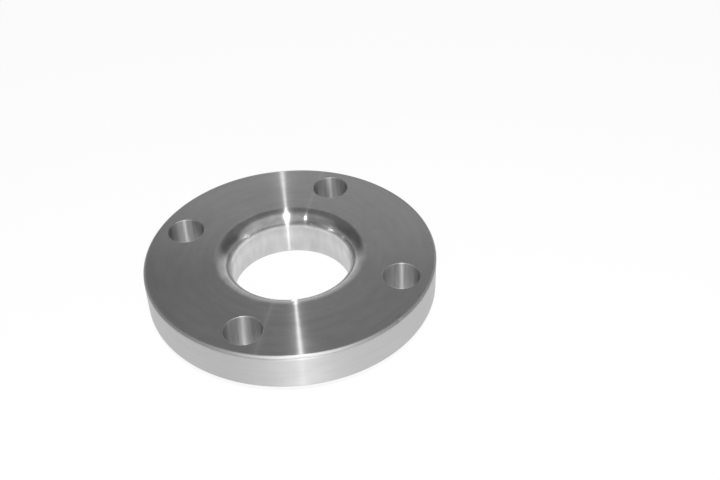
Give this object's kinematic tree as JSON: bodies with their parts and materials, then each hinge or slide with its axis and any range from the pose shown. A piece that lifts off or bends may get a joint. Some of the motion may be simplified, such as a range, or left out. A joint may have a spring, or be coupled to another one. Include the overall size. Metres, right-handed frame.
{
  "type": "lap joint flange",
  "caption": "Loose steel ring flange: thick bolting plate with a short hub, plain bore, large round corner between bore and face, and a ring of bolt holes. Backs a lapped pipe end.",
  "frame": {"origin": "centre of the hub's flat end face, which is what the flange stands on", "axes": "+Z along the bore towards the lap face; +X midway between two bolt holes"},
  "size_m": [0.1518, 0.1518, 0.025],
  "materials": {
    "machined_steel": "turned bright, with fine circular tool marks"
  },
  "bodies": {
    "root": {"lap_joint_flange": "machined_steel"}
  },
  "joints": []
}
